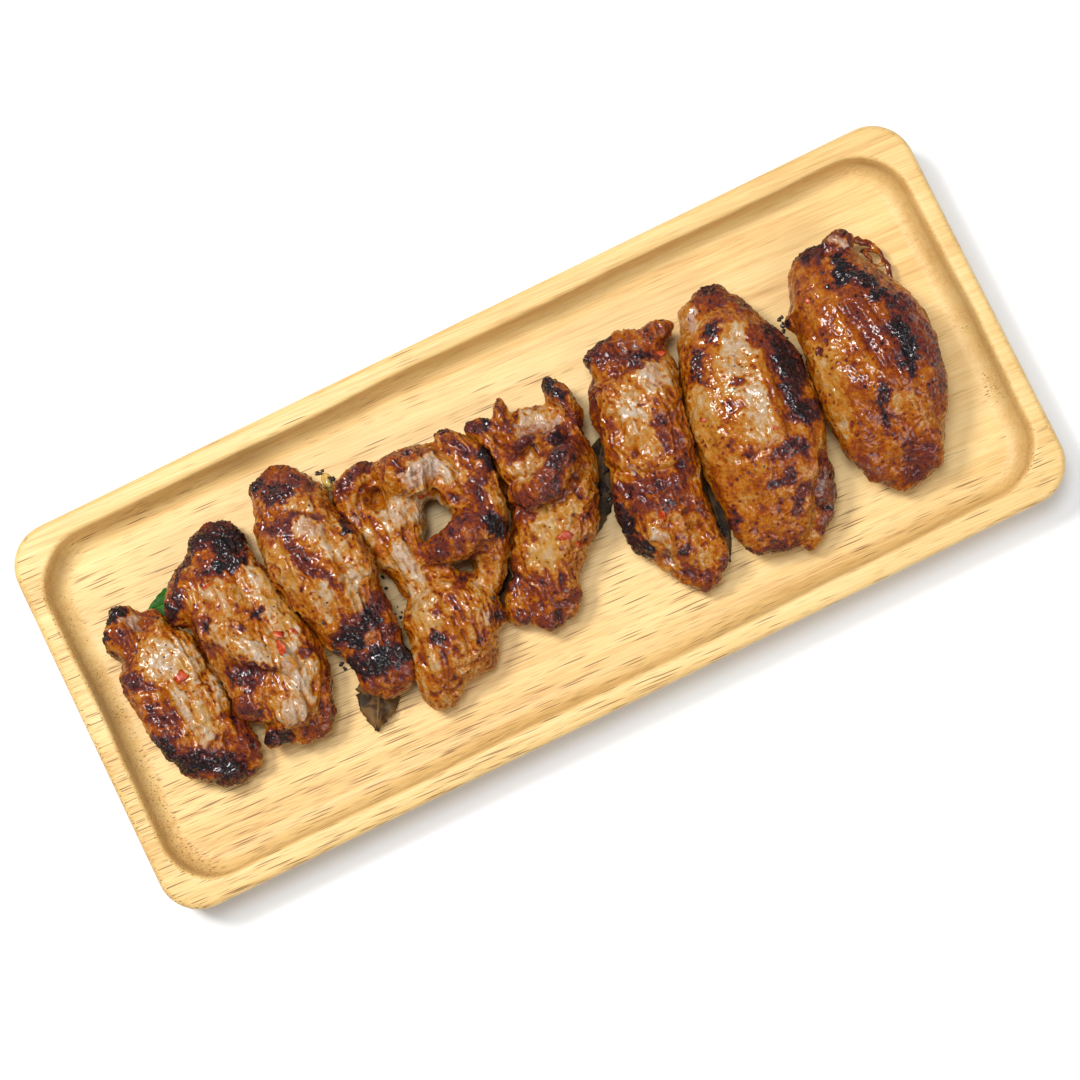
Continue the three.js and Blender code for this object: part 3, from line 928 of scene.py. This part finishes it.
def roundedCopy(name):
    # A fine, even mesh over the CAD shape with its facets rounded away.
    bm = bmesh.new()
    bm.from_mesh(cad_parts[name].data)
    bmesh.ops.remove_doubles(bm, verts=bm.verts, dist=0.01 * mm)
    bmesh.ops.recalc_face_normals(bm, faces=bm.faces)
    piece = bpy.data.objects.new(name + "_rough", fromBmesh(bm, name + "_rough"))
    bpy.context.collection.objects.link(piece)
    coarse = piece.modifiers.new("coarse", "REMESH")
    coarse.mode = "VOXEL"
    coarse.voxel_size = wingRelief["coarseVoxel"] * mm
    rounding = piece.modifiers.new("rounding", "SMOOTH")
    rounding.factor = 0.5
    rounding.iterations = wingRelief["roundingPasses"]
    fine = piece.modifiers.new("fine", "REMESH")
    fine.mode = "VOXEL"
    fine.voxel_size = wingRelief["fineVoxel"] * mm
    settle = piece.modifiers.new("settle", "SMOOTH")
    settle.factor = 0.5
    settle.iterations = 4
    mesh = bpy.data.meshes.new_from_object(piece.evaluated_get(bpy.context.evaluated_depsgraph_get()))
    bpy.data.objects.remove(piece)
    return mesh


paintBrush = {
    # Shares of a stroke's radius at which it starts and stops fading.
    "tone": (0.55, 1.35),
    "topping": (0.4, 1.3),
    "halo": (0.8, 1.2),
    "haloReach": 2.6,  # char browns the skin around it this much further out
    "charTone": 0.7,
    "brownTone": 0.5,
}


def strokeCover(plan, radius, route, brush, reach=0.0):
    solid, faded = paintBrush[brush]
    return 1 - smoothStep(solid * radius, faded * radius + reach, distanceTo(plan, route))


def paintField(plan, start, strokes):
    values = np.full(len(plan), float(start))
    for tone, radius, route in strokes:
        if tone > paintBrush["charTone"]:
            halo = strokeCover(plan, radius, route, "halo", paintBrush["haloReach"])
            values += np.maximum(paintBrush["brownTone"] - values, 0) * halo
    for tone, radius, route in strokes:
        values += (tone - values) * strokeCover(plan, radius, route, "tone")
    return values


def sumField(plan, strokes):
    values = np.zeros(len(plan))
    for strength, radius, route in strokes:
        values = np.maximum(values, strength * strokeCover(plan, radius, route, "topping"))
    return values


def makeWing(name, seed, material):
    look, relief = wingLooks[name], wingRelief
    mesh = roundedCopy(name)
    points = vertexArray(mesh) / mm
    normals = vertexArray(mesh, "normal")
    shift = (seed * 17.3, seed * 5.1, 0)
    upper = smoothStep(-0.3, 0.5, normals[:, 2])

    ragged = np.column_stack([sampleFractal(points / 2.4, 3, (seed, axis * 31, 7)) for axis in range(2)])
    drift = np.column_stack([sampleNoise(points / 7, shift=(seed, axis * 13, 3)) for axis in range(2)])
    plan = onPlan(points) + relief["raggedPaint"] * ragged + relief["driftingPaint"] * drift
    tone = paintField(plan, look["base"], look["paint"])
    tone = tone * (0.4 + 0.6 * upper) + 0.5 * (0.6 - 0.6 * upper)
    flesh = sumField(plan, look["flesh"])
    fat = sumField(plan, look["fat"])
    crisp = smoothStep(0.45, 0.85, tone)

    steadyPlan = onPlan(points) + relief["driftingCarve"] * drift
    carved = np.zeros(len(points))
    for height, radius, route in look["carve"]:
        carved += height * np.exp(-(distanceTo(steadyPlan, route) / radius) ** 2)

    # Broad lumps, pleats along and across the wing, fine pebbles, and crust over the char.
    rough = look.get("rough", 1.0)
    sway = np.column_stack([drift, drift[:, 0]])
    lumps = sampleFractal(points / 9, 2, shift)
    pleats = points / (4.2, 9.0, 6.0) + 0.8 * sway
    folds = 1 - np.abs(sampleNoise(pleats, shift=(seed * 3.7, 12, 5))) * 2.6
    lengthwise = points / (2.2, 7.0, 3.0) + 0.9 * sway
    wrinkles = 1 - np.abs(sampleFractal(lengthwise, 2, shift)) * 2.2
    crossways = points / (6.5, 2.6, 4.0) + 0.7 * sway
    puckers = 1 - np.abs(sampleNoise(crossways, shift=(seed, 40, 9))) * 2.2
    curled = np.column_stack([ragged, drift[:, 0]])
    pebbles = 0.9 * sampleNoise(points / 1.6 + 0.9 * curled, shift=(9, seed, 4))
    pebbles += 0.6 * sampleNoise(points / 0.8, shift=(2, seed, 8))
    crust = 1 - np.abs(sampleFractal(points / 1.7 + 0.5 * curled, 3, (3, 8, seed))) * 2.0
    skinFolds = relief["folds"] * folds + relief["puckers"] * puckers - relief["settle"]
    skinFolds += relief["wrinkles"] * wrinkles * (1 - 0.5 * crisp)
    height = relief["lumps"] * lumps + rough * skinFolds + carved * (0.3 + 0.7 * upper)
    height += relief["pebbles"] * pebbles + relief["crust"] * (crust - 0.45) * crisp
    height *= smoothStep(-0.9, -0.2, normals[:, 2]) * 0.85 + 0.15
    moved = points + normals * height[:, None]
    moved[:, 2] = np.maximum(moved[:, 2], floorZ / mm + relief["clearance"])
    mesh.vertices.foreach_set("co", (moved * mm).astype(np.float32).ravel())
    # Darker, more amber skin in the valleys of the wrinkles and folds and paler skin on their ridges: partly
    # juice pooled in the creases, partly painted crease shade and painted highlights on the ridges.
    tone += rough * (0.2 * (0.5 - wrinkles) + 0.15 * (0.4 - folds)) * (1 - crisp)
    tone += 0.22 * (crust - 0.5) * crisp
    setAttribute(mesh, "tone", np.clip(tone, 0, 1))
    setAttribute(mesh, "flesh", flesh)
    setAttribute(mesh, "fat", fat)
    mesh.update()
    piece = addObject(name + "_skin", mesh, material)
    adopt(piece, "roast_skin", name)
    return piece


leafLooks = {
    # from, to, width, lift, curl
    "leaf_fresh": ((-119, 26), (-101, 25), 9, 2.2, 0.8),
    "leaf_wilted": ((-62, -18), (-72.5, -37), 13, 2.2, 3.0),
    "leaf_gap_4_5": ((-16, -8), (-25, -21), 9, 1.0, 1.2),
    "leaf_gap_5_6": ((7, -15), (29, 14), 13, 1.2, 1.4),
    "leaf_gap_6_7": ((51, -8), (46, -38), 7, 1.0, 1.0),
}
leafMake = {
    "bottom": 0.4,  # above the recess floor, and never below the next
    "lowest": 0.3,
    "groove": 0.3,  # along the middle rib
    "thickness": 0.25,
    "neatEdge": 0.12,
    "raggedEdge": 0.3,
}


def makeLeaf(name, seed, material):
    start, end, width, lift, curl = leafLooks[name]
    start, end = Vector(start), Vector(end)
    fresh = name == "leaf_fresh"
    along = end - start
    side = Vector((-along.y, along.x)).normalized()
    ragged = leafMake["raggedEdge"] if name == "leaf_wilted" else leafMake["neatEdge"]
    bm = bmesh.new()
    ribLayer = bm.verts.layers.float.new("rib")
    bmesh.ops.create_grid(bm, x_segments=44, y_segments=20, size=1)
    for vert in bm.verts:
        share = (vert.co.x + 1) / 2
        across = vert.co.y
        halfWidth = width / 2 * math.sin(math.pi * min(0.985, 0.02 + share)) ** 0.75
        nibble = noise.noise(Vector((share * 9, seed, 0))) + 0.7 * noise.noise(Vector((share * 26, seed, 3)))
        spot = start + along * share + side * halfWidth * (1 + ragged * nibble) * across
        height = leafMake["bottom"] + lift * (0.5 + 0.5 * noise.noise(Vector((spot.x, spot.y, seed)) / 7))
        height += curl * across ** 2 * noise.noise(Vector((share * 3, across, seed + 5)))
        height -= leafMake["groove"] * math.exp(-(across * 6) ** 2)
        vert.co = Vector((spot.x, spot.y, floorZ / mm + max(leafMake["lowest"], height))) * mm
        branch = abs(((share * 7 - abs(across) * 0.9) % 1) - 0.5) * 2
        vert[ribLayer] = max(math.exp(-(across * 9) ** 2), 0.75 * branch ** 6)
    bmesh.ops.recalc_face_normals(bm, faces=bm.faces)
    bmesh.ops.solidify(bm, geom=bm.faces[:], thickness=leafMake["thickness"] * mm)
    piece = addObject(name + "_look", fromBmesh(bm, name + "_look"), material)
    adopt(piece, "fresh_leaf" if fresh else "wilted_leaf", name)
    return piece


def chunk(bm, place, normal, size, stretch, thickness, seed):
    # A small irregular lump lying on a surface.
    turn = Vector((0, 0, 1)).rotation_difference(normal).to_matrix().to_4x4()
    spin = Matrix.Rotation(seed * 2.399, 4, "Z")
    scale = Matrix.Diagonal((size * stretch, size, size * thickness, 1))
    matrix = Matrix.Translation(place) @ turn @ spin @ scale
    made = bmesh.ops.create_icosphere(bm, subdivisions=2, radius=0.5, matrix=matrix)
    for vert in made["verts"]:
        offset = vert.co - place
        vert.co += offset * 0.8 * noise.noise(offset / size * 2.6 + Vector((seed * 7.1, 0, 0)))


chilliPlaces = [
    # x, y, size, stretch
    (-117, 3, 3.2, 1.2),
    (-86.5, 2.2, 2.6, 1.5),
    (-87, -2.2, 3.6, 1.1),
    (-30, 20.6, 2.2, 1.8),
    (-27, 20.2, 2.2, 1.3),
    (4.3, -9.6, 3.6, 1.1),
    (6.8, -13, 2.2, 1.5),
    (33, -17, 2.6, 1.2),
    (-99, 24, 1.8, 1.4),
    (54, 27.5, 2.4, 1.3),
    (-81, 0.5, 1.8, 1.2),
    (101, 22, 1.6, 1.2),
    (12.4, -5.8, 1.8, 1.2),
    (57, 3.4, 1.5, 1.1),
    (75, -8, 1.5, 1.2),
]
crumbPlaces = {
    "seed": 11,
    "count": 520,
    "across": (-136, 130),
    "deep": (-42, 46),
    "sizes": (0.25, 0.6),
    "perGap": 8,
    "gapSizes": (0.4, 1.3),
    "lowest": 2,  # the scattered ones stay off the floor of the recess
    "gaps": [
        # x, y and how far they spread along each
        (22, 0, 5, 5),
        (-20, -16, 4, 4),
        (-53.5, 40, 1.2, 0.8),
        (-51.5, 36.5, 0.8, 1.2),
        (92, 18, 2.5, 4),
        (21, -4, 2.5, 3),
        (-72, -8, 1, 8),
        (-51, -5, 1.5, 8),
        (47.5, -30, 0.8, 6),
    ],
}


def topTree(pieces):
    bm = bmesh.new()
    for piece in pieces:
        bm.from_mesh(piece.data)
    tree = BVHTree.FromBMesh(bm)
    bm.free()
    return tree


def offPlan(x, y):
    # The ray that shows at a place on the plan.
    eye = planEye * mm
    target = Vector((x * mm, y * mm, rimZ))
    return eye, (target - eye).normalized()


def makeChilli(tree, material):
    bm = bmesh.new()
    for seed, (x, y, size, stretch) in enumerate(chilliPlaces):
        place, normal, _, _ = tree.ray_cast(*offPlan(x, y))
        chunk(bm, place + normal * 0.05 * mm, normal, size * mm * 0.95, stretch * 1.3, 0.14, seed)
    piece = addObject("chilli_flakes", fromBmesh(bm, "chilli_flakes"), material)
    adopt(piece, "roast_skin")


def makeCrumbs(tree, material):
    rng = np.random.default_rng(crumbPlaces["seed"])
    bm = bmesh.new()
    count, across, deep, sizes = (crumbPlaces[key] for key in ("count", "across", "deep", "sizes"))
    places = [(rng.uniform(*across), rng.uniform(*deep), rng.uniform(*sizes)) for _ in range(count)]
    for x, y, spreadX, spreadY in crumbPlaces["gaps"]:
        for _ in range(crumbPlaces["perGap"]):
            spot = (rng.normal(x, spreadX / 2), rng.normal(y, spreadY / 2))
            places.append((*spot, rng.uniform(*crumbPlaces["gapSizes"])))
    for seed, (x, y, size) in enumerate(places):
        place, normal, _, _ = tree.ray_cast(*offPlan(x, y))
        if place is None or seed < count and place.z < floorZ + crumbPlaces["lowest"] * mm:
            continue
        chunk(bm, place + normal * 0.08 * size * mm, normal, size * mm, 1.0 + 0.25 * (seed % 3), 0.6, seed)
    piece = addObject("char_crumbs", fromBmesh(bm, "char_crumbs"), material)
    adopt(piece, "roast_skin")


strandSeed = 7  # without a seed noise_vector differs from run to run
strandLevel = rimZ / mm - 2
tornStrands = [
    # radius at the ends, and a route as x, y and how far it sinks below that level
    (0.75, [(118, 33, 0), (123, 33, 1), (127, 29, 3), (128.5, 23, 4), (127, 16, 3), (124, 12, 1)]),
    (0.55, [(120, 28, 0), (124, 29, 2), (127.5, 27, 3.5)]),
    (0.50, [(121, 23, 0), (124, 24, 2), (128.5, 22, 4)]),
    (0.45, [(123, 29.5, 2), (124.5, 26, 2.5), (124, 23.5, 2)]),
]


def makeTatters(material):
    noise.seed_set(strandSeed)
    bm = bmesh.new()
    for seed, (radius, route) in enumerate(tornStrands):
        stretches = len(route) - 1
        made = bmesh.ops.create_grid(bm, x_segments=8 * stretches, y_segments=8, size=1)
        for vert in made["verts"]:
            share = (vert.co.x + 1) / 2
            angle = (vert.co.y + 1) * math.pi
            index = min(int(share * stretches), stretches - 1)
            station = Vector(route[index]).lerp(Vector(route[index + 1]), share * stretches - index)
            wobble = noise.noise_vector(station * 0.45 + Vector((seed, 0, 0)))
            centre = Vector((station.x, station.y, strandLevel - station.z)) + wobble * 0.8
            size = radius * (0.65 + abs(share - 0.5) + 0.35 * noise.noise(station * 0.8))
            size *= min(1, 12 * share, 12 * (1 - share))
            around = Vector((math.cos(angle) * 1.5, math.cos(angle) * 0.8, math.sin(angle) * 0.7))
            vert.co = (centre + around * size) * mm
    bmesh.ops.remove_doubles(bm, verts=bm.verts, dist=0.002 * mm)
    bmesh.ops.recalc_face_normals(bm, faces=bm.faces)
    mesh = fromBmesh(bm, "torn_skin")
    setAttribute(mesh, "tone", [0.50 + 0.4 * noise.noise(vert.co / mm / 2.5) for vert in mesh.vertices])
    piece = addObject("torn_skin", mesh, material)
    adopt(piece, "roast_skin")


def makeFatScrap(material):
    mesh = roundedCopy("fat_scrap")
    points = vertexArray(mesh) / mm
    normals = vertexArray(mesh, "normal")
    points += normals * (0.35 * sampleFractal(points / 2, 2))[:, None]
    mesh.vertices.foreach_set("co", (points * mm).astype(np.float32).ravel())
    mesh.update()
    piece = addObject("fat_scrap_look", mesh, material)
    adopt(piece, "fat", "fat_scrap")
    return piece


studio = {
    "floorHalf": 3,
    "floorGap": 0.05 * mm,  # keeps the floor just under the tray
    "floorColour": (0.9, 0.9, 0.9, 1),
    "worldStrength": 0.16,
    "lights": {
        # power in watts, size, colour, place; both measures in metres
        "key": (8.2, 0.24, (1.0, 0.98, 0.95), (-0.34, 0.46, 0.90)),
        "sheen": (7.6, 0.38, (0.88, 0.94, 1.0), (-0.06, 0.24, 1.25)),
        "fill": (4.4, 0.7, (1.0, 1.0, 1.0), (0.35, -0.7, 0.8)),
    },
}


def makeStage():
    bm = bmesh.new()
    bmesh.ops.create_grid(bm, x_segments=1, y_segments=1, size=studio["floorHalf"])
    paint = Shade("pale_floor").finish(Base_Color=studio["floorColour"], Roughness=0.9)
    floor = addObject("floor", fromBmesh(bm, "floor"), paint)
    floor.location.z = trayLow.z - studio["floorGap"]

    world = bpy.data.worlds.new("studio")
    world.use_nodes = True
    background = world.node_tree.nodes["Background"]
    background.inputs["Color"].default_value = (1, 1, 1, 1)
    background.inputs["Strength"].default_value = studio["worldStrength"]
    bpy.context.scene.world = world

    for name, (power, size, colour, place) in studio["lights"].items():
        data = bpy.data.lights.new(name, "AREA")
        data.energy = power
        data.size = size
        data.color = colour
        light = bpy.data.objects.new(name, data)
        light.location = place
        light.rotation_euler = (-Vector(place)).to_track_quat("-Z", "Y").to_euler()
        bpy.context.collection.objects.link(light)


view = {
    "target": (-2.98, -7.33, 18),
    "distance": 700,
    "azimuth": -10.1,  # the three angles are in degrees
    "elevation": 85.89,
    "roll": -15.93,
    "lens": 77.9,
    "sensor": 36,
    "nearest": 0.01,
}


def makeCamera():
    azimuth, elevation, roll = (math.radians(view[key]) for key in ("azimuth", "elevation", "roll"))
    level = math.cos(elevation)
    back = Vector((math.sin(azimuth) * level, -math.cos(azimuth) * level, math.sin(elevation)))
    right = Vector((0, 0, 1)).cross(back).normalized()
    up = back.cross(right)
    rolledRight = math.cos(roll) * right + math.sin(roll) * up
    rolledUp = math.cos(roll) * up - math.sin(roll) * right
    data = bpy.data.cameras.new("camera")
    data.lens = view["lens"]
    data.sensor_width = view["sensor"]
    data.clip_start = view["nearest"]
    camera = bpy.data.objects.new("camera", data)
    turn = Matrix((rolledRight, rolledUp, back)).transposed().to_4x4()
    place = Vector(view["target"]) * mm + back * view["distance"] * mm
    camera.matrix_world = Matrix.Translation(place) @ turn
    bpy.context.collection.objects.link(camera)
    bpy.context.scene.camera = camera
    bpy.context.scene.view_settings.view_transform = "Standard"


makeStage()
makeCamera()
print("stage and camera ready")

tray = makeTray()
skin = roastSkin()
wings = [makeWing(name, seed, skin) for seed, name in enumerate(wingLooks)]
makeTatters(skin)
print("wings ready")

freshLeaf = leafSkin("fresh_leaf", (0.008, 0.05, 0.003), (0.03, 0.15, 0.008), (0.09, 0.24, 0.03))
wiltedLeaf = leafSkin("wilted_leaf", (0.025, 0.011, 0.003), (0.15, 0.072, 0.018), (0.22, 0.12, 0.035))
leaves = [
    makeLeaf(name, seed, freshLeaf if name == "leaf_fresh" else wiltedLeaf)
    for seed, name in enumerate(leafLooks)
]
scrap = makeFatScrap(plainSkin("fat", (0.50, 0.28, 0.04), (0.74, 0.52, 0.16), 0.25, 0.6))
tree = topTree([tray, *wings, *leaves, scrap])
makeChilli(tree, plainSkin("chilli", (0.30, 0.016, 0.003), (0.56, 0.075, 0.008), 0.35, 0.15))
makeCrumbs(tree, plainSkin("char", (0.006, 0.005, 0.006), (0.05, 0.018, 0.010), 0.4, 0.3, 0.4))
